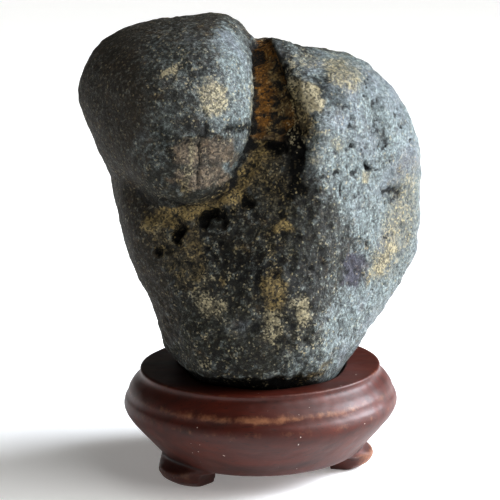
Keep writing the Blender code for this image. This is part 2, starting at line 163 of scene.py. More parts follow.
# Marks on the front: strength and half width in mm, then points as x and z
FRONT_MARKS = {}
FRONT_MARKS["cream"] = [
    (0.8, 0.9, [(0.5, 132), (0.9, 126), (0.7, 118), (-0.8, 112)]),
    (1.9, 1.5, [(-25.6, 134.6), (-23.4, 134.9)]),
    (0.6, 1.2, [(-24.6, 130.2), (-24, 130.6)]),
    (1.2, 4.2, [(-11.6, 127.6), (-10.6, 125.6)]),
    (0.7, 1.5, [(-17.8, 113), (-18.2, 106), (-20.4, 99)]),
    (0.8, 2.4, [(-31.4, 86.6), (-29.6, 86.4)]),
    (0.7, 1.5, [(-14, 73), (-13, 72.6)]),
    (1.1, 3.8, [(-14.6, 64), (-13.2, 63.2)]),
    (1.1, 3.2, [(5.8, 59.2), (5.8, 55.4)]),
    (1.1, 2.6, [(14.4, 63.2), (14.6, 58.6)]),
    (0.9, 1.2, [(5.4, 49.7), (5.8, 49.7)]),
    (0.7, 1.3, [(20, 114.6), (23, 114.8)]),
    (0.7, 1.6, [(19.7, 107.8), (19.7, 107)]),
    (0.7, 1.7, [(25.6, 110.8), (26.6, 109.6)]),
    (2, 2.7, [(13.4, 127.6), (17.6, 125.6), (19.6, 123.4)]),
    (0.9, 3.4, [(25.2, 132), (31.6, 128.2)]),
    (0.6, 1.6, [(15.6, 135.4), (20.2, 134.6)]),
    (0.8, 1.5, [(12.8, 134), (13, 132.6)]),
    (0.9, 1.8, [(35.3, 99.6), (35.3, 98)]),
    (1.7, 1.8, [(44.4, 73.8), (40.4, 67.8)]),
    (0.7, 4.6, [(46, 84), (40, 68)]),
    (0.6, 3.4, [(50, 94), (47, 84)]),
    (0.9, 0.8, [(45.8, 78.6), (42.2, 76.2)]),
    (1, 0.9, [(39, 73.8), (39.4, 73.5)]),
    (0.6, 1.6, [(49.6, 77.6), (48.8, 73)]),
    (0.5, 1.4, [(51.4, 86), (51, 80)]),
    (0.9, 0.9, [(22.5, 53.1), (22.8, 53.1)]),
    (0.4, 3, [(18.6, 50), (10, 47)]),
]
FRONT_MARKS["ochre"] = [
    (0.9, 2.2, [(6.4, 134), (9, 122), (7, 114)]),
    (1.5, 2.8, [
        (-31.8, 87.3), (-25.8, 88.6), (-20.8, 90.5), (-11.6, 93), (-3.8, 97.2), (0, 103),
        (3.1, 108.8),
    ]),
    (0.5, 3.2, [(-18.6, 86), (-18.4, 80)]),
    (0.7, 1.2, [(-28.6, 127.7), (-28, 127.7)]),
    (0.6, 2.8, [(-21, 100.4), (-19.8, 98.8)]),
    (1.6, 1.6, [(8.4, 86.9), (11.4, 86.6)]),
    (0.85, 1.6, [(-16.5, 75.4), (-16.3, 74.2)]),
    (0.8, 1.3, [(-9.4, 71.2), (-9.2, 70.2)]),
    (1.4, 4.2, [(5.6, 69.6), (6.6, 64.6)]),
    (0.6, 4.5, [(-6, 94.5), (1, 101)]),
    (0.6, 5, [(4, 106), (7, 98)]),
    (0.8, 4, [(-22, 86), (-18, 79)]),
    (0.6, 6, [(-26, 80), (-19, 73)]),
    (0.5, 7, [(50, 98), (49, 84), (43, 70)]),
    (1.2, 3.2, [(13.6, 125), (15.8, 116)]),
    (0.6, 1.5, [(5.4, 78.8), (5.8, 78.8)]),
    (0.6, 1.6, [(-3.8, 80), (-2.6, 80)]),
    (0.8, 1.2, [(36, 65.6), (36.4, 64.8)]),
    (0.8, 0.9, [(35.3, 78.4), (35.5, 77.4)]),
    (0.8, 1.8, [(21.6, 41.6), (18.4, 38.6), (14.6, 37.4)]),
    (0.8, 1.1, [(6.1, 106.4), (6.5, 106.4)]),
    (0.35, 6, [(10, 100), (6, 84)]),
]
# The pale marks are partly wear and partly painted sheen and highlights, on the knob, the shoulder and
# the lower right; the strong one along the right edge is a painted highlight
FRONT_MARKS["pale"] = [
    (0.3, 10, [(-22, 138), (-14, 132)]),
    (1.15, 12, [(42, 124), (51, 112), (54, 96)]),
    (0.9, 4.6, [(-7.4, 142), (-3.6, 134), (-1.6, 122)]),
    (0.8, 6, [(-11, 128), (-8, 121)]),
    (0.8, 3, [(-3.8, 113), (-6.6, 104)]),
    (0.8, 3.8, [(31, 64), (27, 54), (23.6, 44)]),
    (0.5, 5, [(12, 44), (20, 46)]),
    (0.35, 5, [(-31, 110), (-26, 122)]),
]
FRONT_MARKS["brown"] = [
    (0.8, 7, [(-36, 92), (-33, 72), (-31, 52)]),
    (0.6, 9, [(-47, 126), (-40, 140)]),
    (0.6, 3.4, [(-30, 144.6), (-12, 147)]),
    (0.5, 4, [(-33.6, 128), (-30, 120)]),
    (0.7, 9, [(-40, 132), (-38, 118)]),
]
FRONT_MARKS["pink"] = [
    (1, 4, [(-20.6, 109.6), (-7.4, 109.4)]),
    (0.9, 4, [(-20, 102.4), (-10.4, 102)]),
]
FRONT_MARKS["violet"] = [(0.8, 3.6, [(31.2, 72.4), (31.6, 67)])]
FRONT_MARKS["grit"] = [
    (0.55, 16, [(-14, 52), (12, 50)]),
    (0.95, 7, [(12, 62), (10, 48)]),
    (0.5, 9, [(-10, 92), (-14, 78), (-4, 66)]),
    (0.8, 8, [(-12, 128), (-10, 118)]),
    (0.3, 7, [(-20, 107), (-10, 106)]),
    (0.8, 9, [(-22, 138), (-14, 132)]),
    (1.5, 4.4, [(14, 126), (15.6, 114)]),
    (0.4, 10, [(-26, 132), (-16, 134)]),
    (0.7, 5, [(20, 112), (26, 100)]),
    (0.5, 6, [(18, 132), (34, 130)]),
]
# The dark marks are painted shade: down the left-facing slope of the shoulder and the valley beside
# it, under the brow, and in the pits, dents and hollows
FRONT_MARKS["dark"] = [
    (1.2, 2.4, [(13, 114), (14, 106), (13, 97)]),
    (0.9, 1.8, [(10.4, 131.6), (12.8, 124)]),
    (1, 2.2, [(4.6, 110), (9.6, 110.2)]),
    (1, 1.2, [(-22, 85.9), (-23.9, 82.4)]),
    (0.9, 1.7, [(-29.1, 78.8), (-29.3, 77.8)]),
    (0.8, 1.5, [(-14.9, 87.4), (-14.4, 89), (-11.8, 89.4), (-7.6, 89.2), (-5.8, 90.6)]),
    (0.8, 1.8, [(-1.9, 93.9), (-1, 93.6)]),
    (0.5, 6, [(10.6, 98), (8, 80), (0, 74)]),
    (0.5, 4.4, [(-9, 82), (-4, 66)]),
    (0.6, 1.6, [(-8, 116.2), (-0.5, 115.9)]),
    (0.6, 2.2, [(-28, 118), (-24, 109)]),
    (0.9, 1.1, [(35.7, 102.9), (36, 101.9)]),
    (0.7, 2.2, [(43.8, 92.2), (44.4, 90.4)]),
    (0.5, 2.6, [(39.1, 121), (41.2, 108.4)]),
    (0.44, 2.2, [(46, 117), (48.9, 112.8)]),
    (0.44, 2.6, [(29.8, 121), (30.3, 116)]),
    (0.44, 2.4, [(36.5, 128), (35.5, 123.8)]),
    (0.39, 3.2, [(43.6, 104), (46.6, 98)]),
    (0.7, 3.6, [(22, 128), (26, 124)]),
    (0.4, 4, [(-16, 56), (-8, 48)]),
]
MARK_LAYERS = ("pale", "brown", "pink", "violet", "ochre", "cream", "dark", "grit")

# ---------- stand shape

AXIS_X = 1.5  # where the axis of the turned wood stands
PLATE_TOP = 35.0
UNDERSIDE = 6.5
SEAT_FLOOR = 31.6
SEAT_CLEARANCE = 0.35
SEAT_STEPS = 72
CUTTER_HEIGHT = 8.0
FOOT_BEARINGS = (-58.0, 91.0, 197.0)  # degrees seen from above, with 0 towards the viewer
FOOT_INNER_RADIUS = 23.0
FOOT_CENTRE = 27.0  # radius of the middle of a foot's sole
FOOT_CUTS_ACROSS = 23
FOOT_CUTS_UP = 27
STAND_EDGE_ROUNDS = 4
UPPER_BEAD = 28.2  # height of the edge that hands rub most
LOWER_BEAD = 24.2
TRUED_ABOVE = 9.6  # the feet join below this height
TRUED_OUTSIDE = 35.6  # the plate's flat top lies inside this radius
TRUING_CHUNKS = 40  # how many parts that work is split into
DENT_DEPTH = 0.12

# Radius and height down the turned side, and the heights of its crisp corners
TURNED_PROFILE = [
    (35, PLATE_TOP), (37, 34.98), (38.6, 34.93), (39.1, 34.6), (39.05, 34.1), (39.05, 33.5),
    (39.3, 32.8), (39.8, 32.1), (40.6, 31.3), (41.5, 30.4), (42.3, 29.3), (42.9, 28.2),
    (43.2, 27.2), (43.6, 26.2), (44.2, 25.1), (44.6, 23.2), (44.2, 21.5), (43, 19.4),
    (41, 16.9), (38.4, 13.9), (35.8, 10.9), (33.8, 8.6), (32.4, 7.2), (31.2, UNDERSIDE),
]
CRISP_HEIGHTS = (34.6, UNDERSIDE)

# Height of each level of a foot, half width in degrees, outer radius at the middle and at the ends
FOOT_LEVELS = [
    (0, 15, 31.8, 28.6), (0.5, 16.4, 33.2, 29.6), (2, 17.4, 35.8, 31.6), (4, 18.6, 37, 32.4),
    (5.2, 20.5, 36.6, 32), (6, 26.5, 35.4, 31.5), (7.3, 34, 34, 30.7), (8.8, 36, 33, 30),
]

# ---------- stage sizes, in metres

FLOOR_RADIUS = 7.0
COVE_HEIGHT = 0.9  # how high the floor's far edge curves up
COVE_START = 0.8  # where that curve starts, as a share of the radius
COVE_STEPS = 9
FLOOR_STEPS = 96
SUN_SPREAD = math.radians(68)
SUN_TILT = math.radians(50)
SUN_TURN = math.radians(-16)
WINDOW_WIDTH = 0.55
WINDOW_PLACE = (0.95, 0.1, 0.5)
WINDOW_AIM = (0.0, 0.0, 0.08)
CAMERA_PLACE = (-0.0011, -0.6, 0.198)
CAMERA_DOWN = math.radians(11.8)
CAMERA_ROLL = math.radians(-1.0)
CAMERA_LENS = 136.8  # in mm, for a frame 36 mm wide
CAMERA_FRAME = 36.0
VIEW_GAMMA = 0.8


# ---------- settings

def linear_colour(text):
    """Linear red, green and blue of an sRGB colour written in hexadecimal."""
    values = [int(text[i:i + 2], 16) / 255 for i in (1, 3, 5)]
    return tuple(v / 12.92 if v <= 0.04045 else ((v + 0.055) / 1.055) ** 2.4 for v in values)


def colour_property(name, description, text):
    return FloatVectorProperty(
        name=name, description=description, default=linear_colour(text), subtype="COLOR",
        size=3, min=0.0, max=1.0,
    )


class StoneSettings(bpy.types.PropertyGroup):
    """Sizes and colours of the stone."""
    triangles: IntProperty(name="Triangles", description="Most triangles it may have", default=200000)
    grain: FloatProperty(
        name="Grain", description="Size of the stone's grains, as drawn", default=0.58 * MM,
        unit="LENGTH", precision=5,
    )
    roughness: FloatProperty(
        name="Relief", description="Height of the fine weathering", default=0.5 * MM,
        unit="LENGTH", precision=5,
    )
    deep: colour_property("Deep stone", "The dark body of the stone", "#15130a")
    mid: colour_property("Grey stone", "The lighter clouds in the body", "#2a281b")
    # This blue-grey is partly the stone's wear and partly a painted sheen of the window at the right,
    # on the right side and on right-facing edges
    pale: colour_property("Worn stone", "Blue-grey where hands and water wore it", "#7d8786")
    slate: colour_property("Slate clouds", "Bluer clouds in the worn stone", "#747a80")
    brown: colour_property("Brown skin", "The smooth brownish skin of the flanks", "#2d2517")
    pink: colour_property("Fresh facet", "The pinkish facet under the brow", "#6b5f50")
    violet: colour_property("Violet facet", "The flat violet facet low on the right", "#3c3b45")
    rust: colour_property("Rust", "Iron stain in the wedge", "#7c5518")
    ochre: colour_property("Ochre", "Earth and iron left in hollows", "#5a4e34")
    cream: colour_property("Cream", "Cream mineral spots and grains", "#b5ab8e")
    earth: colour_property("Earth", "Greyish crust under the cream grains", "#77705a")
    gold: colour_property("Gold", "Yellow-brown grains in the ochre", "#a08c5a")
    # Near black: laid in hollows by their depth, and as painted shade where the dark marks lie
    hollow: colour_property("Hollows", "Old dirt in pits and cracks", "#050504")


class StandSettings(bpy.types.PropertyGroup):
    """Sizes and colours of the stand."""
    steps: IntProperty(name="Steps", description="Steps round the turned side", default=192)
    spacing: FloatProperty(
        name="Mesh spacing", description="Size of the faces on the wood", default=0.5 * MM,
        unit="LENGTH", precision=5,
    )
    wood: colour_property("Rosewood", "The red-brown of the stained wood", "#571f0f")
    dark_wood: colour_property("Dark grain", "The darker figure in the wood", "#2e110b")
    rubbed: colour_property("Rubbed wood", "Tan wood where the stain is worn through", "#8e6347")
    grime: colour_property("Grime", "Old wax and dirt in the grooves", "#140706")
    dust: colour_property("Dust", "Specks of dust and lint", "#d8d2c8")


class StageSettings(bpy.types.PropertyGroup):
    """Floor and lights."""
    floor: colour_property("Floor", "Opal acrylic, sanded matt", "#f3f3f2")
    daylight: colour_property("Daylight colour", "Colour of the even light", "#ffffff")
    cool: colour_property("Window colour", "Colour of the light at the right", "#eef5ff")
    warm: colour_property("Room colour", "Colour of the light from all round", "#f4ead8")
    window: FloatProperty(name="Window", description="Its power", default=25.0, unit="POWER")
    glow: FloatProperty(name="Glow", description="Light coming up through the floor", default=0.31)
    sun: FloatProperty(name="Daylight", description="Strength of the even light", default=3.4)
    room: FloatProperty(name="Room", description="Strength of the dim light", default=0.05)


# ---------- shared helpers

def positions(mesh):
    """The mesh's vertices as rows of x, y and z, in mm."""
    points = np.empty(len(mesh.vertices) * 3)
    mesh.vertices.foreach_get("co", points)
    return points.reshape(-1, 3) / MM


def normals(mesh):
    """The outward direction at each vertex."""
    values = np.empty(len(mesh.vertices) * 3)
    mesh.vertices.foreach_get("normal", values)
    return values.reshape(-1, 3)


def place(mesh, points):
    """Moves the mesh's vertices to points given in mm."""
    mesh.vertices.foreach_set("co", (points * MM).ravel())
    mesh.update()


def edge_ends(mesh):
    """The two vertices of each edge."""
    ends = np.empty(len(mesh.edges) * 2, np.int32)
    mesh.edges.foreach_get("vertices", ends)
    return ends.reshape(-1, 2)


def averaged(values, ends, rounds):
    """Values at each vertex, averaged with its neighbours for some rounds."""
    count = np.bincount(ends.ravel(), minlength=len(values))[:, None]
    for _ in range(rounds):
        total = np.zeros_like(values)
        np.add.at(total, ends[:, 0], values[ends[:, 1]])
        np.add.at(total, ends[:, 1], values[ends[:, 0]])
        values = 0.5 * values + 0.5 * total / count
    return values


def cloud(points, size, octaves=3, seed=0.0):
    """Fractal noise between about -1 and 1 with features of the given size in mm."""
    return np.array([
        noise.fractal(Vector(p) / size + Vector((seed, 0.0, 0.0)), 1.0, 2.0, octaves)
        for p in points
    ])


def smoothstep(low, high, values):
    """Rises smoothly from 0 at the first level to 1 at the second, which may be the lower one."""
    t = np.clip((values - low) / (high - low), 0.0, 1.0)
    return t * t * (3 - 2 * t)


def distance_to_path(x, z, path):
    """Shortest distance in the front view from each point to a path."""
    best = np.full(len(x), 1e9)
    for (x0, z0), (x1, z1) in zip(path, path[1:]):
        run = np.array([x1 - x0, z1 - z0])
        along = np.clip(((x - x0) * run[0] + (z - z0) * run[1]) / (run @ run), 0.0, 1.0)
        best = np.minimum(best, np.hypot(x - x0 - along * run[0], z - z0 - along * run[1]))
    return best


def hollowness(mesh, points, rounds):
    """How deep in mm each point lies below its surroundings; less than 0 where it stands out."""
    return ((averaged(points, edge_ends(mesh), rounds) - points) * normals(mesh)).sum(axis=1)


def store(mesh, name, values):
    """Keeps one number for each vertex, for a material to read."""
    attribute = mesh.attributes.new(name, "FLOAT", "POINT")
    attribute.data.foreach_set("value", values.astype(np.float32))


def apply_modifiers(piece):
    graph = bpy.context.evaluated_depsgraph_get()
    mesh = bpy.data.meshes.new_from_object(piece.evaluated_get(graph))
    if not mesh.polygons:
        raise RuntimeError(f"{piece.name} has come out empty")
    piece.modifiers.clear()
    piece.data = mesh


def even_mesh(piece, spacing, rounds):
    """Gives a piece an even fine mesh, and wears its edges a little."""
    even = piece.modifiers.new("Even mesh", "REMESH")
    even.mode = "VOXEL"
    even.voxel_size = spacing
    even.use_smooth_shade = True
    worn = piece.modifiers.new("Worn edges", "SMOOTH")
    worn.factor = 0.5
    worn.iterations = rounds
    apply_modifiers(piece)


def add_piece(name, data):
    """Adds a mesh, a light or a camera to the scene."""
    piece = bpy.data.objects.new(name, data)
    bpy.context.scene.collection.objects.link(piece)
    return piece


def piece_from(shape, name):
    """Makes a piece of an edited mesh."""
    mesh = bpy.data.meshes.new(name)
    shape.to_mesh(mesh)
    shape.free()
    return add_piece(name, mesh)


def turned_piece(name, line, steps):
    """A line of radius and height, in metres, turned about Z."""
    mesh = bpy.data.meshes.new(name)
    mesh.from_pydata(
        [(radius, 0.0, height) for radius, height in line],
        [(i, i + 1) for i in range(len(line) - 1)], [],
    )
    piece = add_piece(name, mesh)
    turned = piece.modifiers.new("Turned", "SCREW")
    turned.steps = turned.render_steps = steps
    turned.use_merge_vertices = True
    turned.merge_threshold = MERGE_DISTANCE
    return piece


def blank_material(name):
    """A material without nodes, its tree, and the socket for where a point of the piece lies."""
    material = bpy.data.materials.new(name)
    material.use_nodes = True
    tree = material.node_tree
    tree.nodes.clear()
    return material, tree, add_node(tree, "ShaderNodeTexCoord").outputs["Object"]


def add_node(tree, kind, settings=None, links=None):
    """Adds a node, sets its properties and sockets, and joins its inputs to other sockets."""
    node = tree.nodes.new(kind)
    for name, value in (settings or {}).items():
        if isinstance(name, int) or name in node.inputs:
            node.inputs[name].default_value = value
        else:
            setattr(node, name, value)
    for name, socket in (links or {}).items():
        tree.links.new(socket, node.inputs[name])
    return node


# ---------- stone

def copy_of_node(node, name):
    """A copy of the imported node's faces, joined up."""
    shape = bmesh.new()
    shape.from_mesh(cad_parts[node].data)
    bmesh.ops.remove_doubles(shape, verts=shape.verts[:], dist=MERGE_DISTANCE)
    return piece_from(shape, name)


def scatter_pits(points, weight, count, seed):
    """Depth in mm of small round pits, set at random where the weight is high."""
    random = np.random.default_rng(seed)
    tree = kdtree.KDTree(len(points))
    for index, point in enumerate(points):
        tree.insert(point, index)
    tree.balance()
    centres = random.choice(len(points), count, p=weight / weight.sum(), replace=False)
    radii = 0.45 + 0.75 * random.random(count) ** 2
    depths = radii * (0.25 + 0.45 * random.random(count))
    sink = np.zeros(len(points))
    for centre, radius, depth in zip(centres, radii, depths):
        for _, index, away in tree.find_range(points[centre], radius * 2):
            sink[index] = max(sink[index], depth * math.exp(-((away / radius) ** 2)))
    return sink


def below_knob(x, z):
    """How far in mm a point of the front lies below or to the right of the knob's lower edge."""
    edge_x, edge_z = zip(*KNOB_EDGE)
    return np.maximum(np.interp(x, edge_x, edge_z) - z, 1.5 * (x + 1.0))


def wedge_amount(x, z):
    """How far inside the rusty wedge a point lies, from 0 to 1."""
    left_z, left_x = zip(*WEDGE_LEFT)
    right_z, right_x = zip(*WEDGE_RIGHT)
    inside = np.minimum(x - np.interp(z, left_z, left_x), np.interp(z, right_z, right_x) - x)
    return smoothstep(-0.3, 0.9, inside) * smoothstep(106.0, 121.0, z)


def softened(points, ends):
    """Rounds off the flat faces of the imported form, except along the crisp edges of the front."""
    x, y, z = points.T
    crisp = smoothstep(15.0, 8.0, distance_to_path(x, z, CRISP_PATH)) * (y < 0)
    rounded = averaged(points, ends, SOFTENING_ROUNDS)
    return points + (rounded - points) * ((1.0 - crisp) * smoothstep(37.0, 44.0, z))[:, None]


def kinds_of_skin(points, outward):
    """Clouds that break up every edge, and amounts from 0 to 1 of each kind of skin."""
    x, _, z = points.T
    front = smoothstep(-0.25, 0.25, -outward[:, 1])
    back = 1.0 - front
    wobble_x = cloud(points, 3.0, seed=3.0)
    wobble_z = cloud(points, 3.0, seed=9.0)
    coarse = cloud(points, 9.0, seed=1.0)
    broad = cloud(points, 26.0, seed=27.0)
    jagged_x = x + 0.7 * wobble_x
    jagged_z = z + 0.7 * wobble_z
    # the worn right side, which the pale tone also lights as a painted sheen, reaches less far round
    # the back, and unevenly
    beyond = x - np.interp(z, *zip(*RIDGE)) + 6.0 * coarse - back * (14.0 + 16.0 * broad)
    right = smoothstep(-7.0, 9.0 + 8.0 * back, beyond)
    flank = smoothstep(-24.0, -36.0, x + 4.0 * coarse)
    broken = smoothstep(-3.0, 3.0, below_knob(x, z)) * (1.0 - flank) * (1.0 - right)
    return SimpleNamespace(
        x=x, z=z, jagged_x=jagged_x, jagged_z=jagged_z, wobble_x=wobble_x, wobble_z=wobble_z,
        coarse=coarse, fine=cloud(points, 2.4, seed=5.0), dimples=cloud(points, 5.0, seed=15.0),
        front=front, back=back, right=right, flank=flank, broken=broken,
        rough=0.3 + 0.7 * np.maximum(broken * front, 0.6 * back * smoothstep(0.0, 0.5, coarse)),
        undercut=smoothstep(40.4, 38.0, z + 0.8 * wobble_z) * smoothstep(22.0, 8.0, x) * front,
        wedge=wedge_amount(jagged_x, jagged_z) * front,
    )


def named_depth(skin):
    """Depth in mm of the named cuts and recesses, less the height of what stands out."""
    sink = np.zeros(len(skin.x))
    for side, cuts in ((skin.front, FRONT_CUTS), (skin.back, BACK_CUTS)):
        for half_width, depth, path in cuts.values():
            away = distance_to_path(skin.jagged_x, skin.jagged_z, path)
            sink = np.maximum(sink, depth * np.exp(-((away / half_width) ** 3)) * side)
    sink *= 0.8 + 0.5 * skin.wobble_x
    ragged_x = skin.x + 2.0 * skin.wobble_x
    ragged_z = skin.z + 2.0 * skin.wobble_z
    for depth, half_width, edge, path in FRONT_RECESSES.values():
        away = distance_to_path(ragged_x, ragged_z, path)
        sink += depth * smoothstep(half_width, half_width - edge, away) * skin.front
    for height, half_width, path in FRONT_RISES.values():
        away = distance_to_path(skin.jagged_x, skin.jagged_z, path)
        sink -= height * np.exp(-((away / half_width) ** 2)) * skin.front
    return sink + WEDGE_DEPTH * skin.wedge


def carved(points, outward, skin, fine_height):
    """Sinks the cuts and pits into the stone and roughens it, but leaves what sits in the seat."""
    pitted = skin.front * np.exp(-((skin.z - PITTED_HEIGHT) / PITTED_REACH) ** 2)
    pit_weight = (0.25 + pitted + 0.1 * skin.right) * (1.0 - 0.8 * skin.flank)
    pits = scatter_pits(points, pit_weight, PIT_COUNT, PIT_SEED)
    gritty = np.maximum(skin.rough, 0.5 * skin.right * skin.front)
    relief = -named_depth(skin) - pits * skin.rough + 0.3 * skin.coarse
    relief += skin.dimples * (0.15 + 0.35 * skin.right + 0.5 * skin.broken * skin.front)
    relief += fine_height * gritty * skin.fine
    points = points + outward * (relief * smoothstep(*SEATED, skin.z))[:, None]
    points[:, :2] -= UNDERCUT * outward[:, :2] * skin.undercut[:, None]
    return points


def mark_amounts(points, skin):
    """How strongly each mark colours each point."""
    ragged_x = skin.x + 1.5 * skin.wobble_x + 1.5 * skin.dimples
    ragged_z = skin.z + 1.5 * skin.wobble_z + 1.5 * skin.coarse
    marks = {name: np.zeros(len(points)) for name in MARK_LAYERS}
    # the right side paler: partly wear, partly painted sheen of the window at the right
    marks["pale"] += 0.9 * skin.right
    marks["brown"] += 0.6 * skin.flank
    marks["grit"] += (0.25 + 0.9 * skin.coarse) * (1.0 - skin.flank) * (1.0 - 0.7 * skin.right)
    # painted shadow under the lower edge, where the foot is worn back over the seat at the front left
    marks["dark"] += 2.0 * skin.undercut
    for name, listed in FRONT_MARKS.items():
        for strength, half_width, path in listed:
            away = distance_to_path(ragged_x, ragged_z, path) / half_width
            amount = strength * smoothstep(1.6, 0.4, away) * skin.front
            marks[name] = np.maximum(marks[name], amount)
    # the back has the same crusts, scattered
    spots = cloud(points, 7.0, seed=21.0)
    stains = cloud(points, 10.0, seed=33.0)
    for name, scattered, low, high, strength in (
        ("cream", spots, 0.35, 0.6, 0.8),
        ("ochre", stains, 0.3, 0.6, 0.8),
        ("pink", -stains, 0.3, 0.55, 0.5),
    ):
        amount = skin.back * smoothstep(low, high, scattered) * strength
        marks[name] = np.maximum(marks[name], amount)
    marks["grit"] += 0.5 * skin.rough * skin.fine + 0.4 * skin.dimples
    return marks


def weather(mesh, settings):
    """Cuts the cracks and pits, roughens the skin, and notes where each colour lies."""
    points = softened(positions(mesh), edge_ends(mesh))
    place(mesh, points)
    outward = normals(mesh)
    skin = kinds_of_skin(points, outward)
    points = carved(points, outward, skin, settings.roughness / MM)
    place(mesh, points)
    hollow = hollowness(mesh, points, HOLLOW_ROUNDS)
    store(mesh, "hollow", np.clip(hollow / FULL_HOLLOW, 0.0, 1.0))
    store(mesh, "worn", np.clip(-hollow / FULL_HOLLOW, 0.0, 1.0))
    store(mesh, "rust", skin.wedge)
    for name, amount in mark_amounts(points, skin).items():
        store(mesh, name, np.clip(amount, 0.0, 2.0))


def layered(tree, colour, layers, patterns, masks):
    """Lays one tone after another over a colour, each where its mask and pattern add up enough.

    A layer is its colour, mask, pattern, how far the pattern breaks it up, and the levels
    between which it goes from none to full.
    """
    for tone, mask, pattern, breaking, low, high in layers:
        links = {0: patterns[pattern]}
        if mask:
            links[2] = masks[mask]
        level = add_node(
            tree, "ShaderNodeMath", {"operation": "MULTIPLY_ADD", 1: breaking, 2: 0.0}, links
        ).outputs[0]
        amount = add_node(
            tree, "ShaderNodeMapRange",
            {"interpolation_type": "SMOOTHSTEP", "From Min": low, "From Max": high},
            {"Value": level},
        ).outputs[0]
        colour = add_node(
            tree, "ShaderNodeMix", {"data_type": "RGBA", MIX_B: (*tone, 1.0)},
            {"Factor": amount, MIX_A: colour},
        ).outputs[MIX_RESULT]
    return colour


def stone_material(settings):
    """River-worn limestone, rubbed by hand: dark and gritty, with a satin sheen on its worn side."""
    material, tree, where = blank_material("river-worn limestone, hand rubbed")
    # size in mm of each pattern, how many octaves it has, and how rough they are
    patterns = {}
    for name, (size, detail, roughness) in {
        "clouds": (14.0, 4.0, 0.55),
        "mottle": (3.6, 6.0, 0.7),
        "crumble": (1.5, 5.0, 0.8),
        "fleck": (settings.grain / MM * 1.2, 2.0, 0.7),
    }.items():
        patterns[name] = add_node(
            tree, "ShaderNodeTexNoise",
            {"Scale": 1.0 / (size * MM), "Detail": detail, "Roughness": roughness},
            {"Vector": where},
        ).outputs[0]
    # grains of their own tone, with straight sides, as broken limestone shows them. The real
    # ones are about 0.3 mm, and are drawn coarser so that they show
    patterns["crystals"] = add_node(
        tree, "ShaderNodeTexVoronoi", {"Scale": 1.0 / settings.grain}, {"Vector": where}
    ).outputs["Color"]
    masks = {
        name: add_node(tree, "ShaderNodeAttribute", {"attribute_name": name}).outputs["Fac"]
        for name in MARK_LAYERS + ("rust", "hollow", "worn")
    }
    smooth = add_node(
        tree, "ShaderNodeMath", {"operation": "ADD"}, {0: masks["pale"], 1: masks["brown"]}
    ).outputs[0]
    # what each amount follows and between which levels, and what it goes from and to
    amounts = {}
    for name, (followed, start, end, low, high) in {
        "body": (patterns["clouds"], 0.38, 0.66, 0.0, 1.0),
        # the tone follows the relief: the lower grains are darker and the higher ones paler
        "crumble": (patterns["crumble"], 0.36, 0.66, 0.4, 1.6),
        "crystals": (patterns["crystals"], 0.1, 0.9, 0.35, 1.8),
        "unworn": (smooth, 0.0, 1.0, 1.0, 0.6),
        "firmness": (masks["pale"], 0.0, 1.0, 0.9, 1.0),
        "roughness": (masks["pale"], 0.0, 1.0, 0.64, 0.34),
        # the shine is lowered where the dark marks lie, which deepens their painted shade
        "shine": (masks["dark"], 0.0, 1.0, 0.5, 0.15),
    }.items():
        amounts[name] = add_node(
            tree, "ShaderNodeMapRange",
            {"From Min": start, "From Max": end, "To Min": low, "To Max": high},
            {"Value": followed},
        ).outputs[0]
    colour = add_node(
        tree, "ShaderNodeMix",
        {"data_type": "RGBA", MIX_A: (*settings.deep, 1.0), MIX_B: (*settings.mid, 1.0)},
        {"Factor": amounts["body"]},
    ).outputs[MIX_RESULT]
    crusts = (
        (settings.brown, "brown", "mottle", 0.5, 0.35, 1.0),
        # the worn blue-grey, partly wear and partly painted sheen
        (settings.pale, "pale", "crumble", 3.0, 1.4, 2.9),
        (settings.slate, "pale", "clouds", 5.0, 3.0, 4.8),
        (settings.pale, "worn", "mottle", 2.0, 1.7, 2.7),
        (settings.pink, "pink", "mottle", 2.0, 1.3, 2.1),
        (settings.violet, "violet", "mottle", 0.8, 0.6, 1.1),
        (settings.rust, "rust", "mottle", 1.2, 0.6, 1.5),
        (settings.ochre, "ochre", "crumble", 3.0, 1.75, 2.8),
        (settings.earth, "cream", "crumble", 3.0, 1.75, 2.8),
        # the dark marks, laid in near black as painted shade
        (settings.hollow, "dark", "mottle", 1.5, 1.0, 1.9),
    )
    colour = layered(tree, colour, crusts, patterns, masks)
    tone = add_node(
        tree, "ShaderNodeMath", {"operation": "MULTIPLY"},
        {0: amounts["crumble"], 1: amounts["crystals"]},
    ).outputs[0]
    colour = add_node(
        tree, "ShaderNodeMix", {"data_type": "RGBA", "blend_type": "MULTIPLY"},
        {"Factor": amounts["unworn"], MIX_A: colour, MIX_B: tone},
    ).outputs[MIX_RESULT]
    grains = (
        (settings.cream, "grit", "crystals", 4.0, 3.5, 5.4),
        (settings.cream, "cream", "crystals", 3.0, 2.2, 4.2),
        (settings.gold, "ochre", "crystals", 3.0, 2.2, 4.6),
        (settings.hollow, "hollow", "fleck", 1.0, 1.0, 1.6),
    )
    colour = layered(tree, colour, grains, patterns, masks)
    surface = {}
    for name, depth in (("mottle", 0.8), ("crumble", 1.0), ("fleck", 0.3), ("crystals", 0.12)):
        surface["Normal"] = add_node(
            tree, "ShaderNodeBump", {"Distance": depth * MM},
            {"Height": patterns[name], "Strength": amounts["firmness"], **surface},
        ).outputs["Normal"]
    shader = add_node(
        tree, "ShaderNodeBsdfPrincipled", {"IOR": 1.5},
        {
            "Base Color": colour, "Roughness": amounts["roughness"],
            "Specular IOR Level": amounts["shine"], **surface,
        },
    )
    add_node(tree, "ShaderNodeOutputMaterial", {}, {"Surface": shader.outputs[0]})
    return material


# ---------- stand

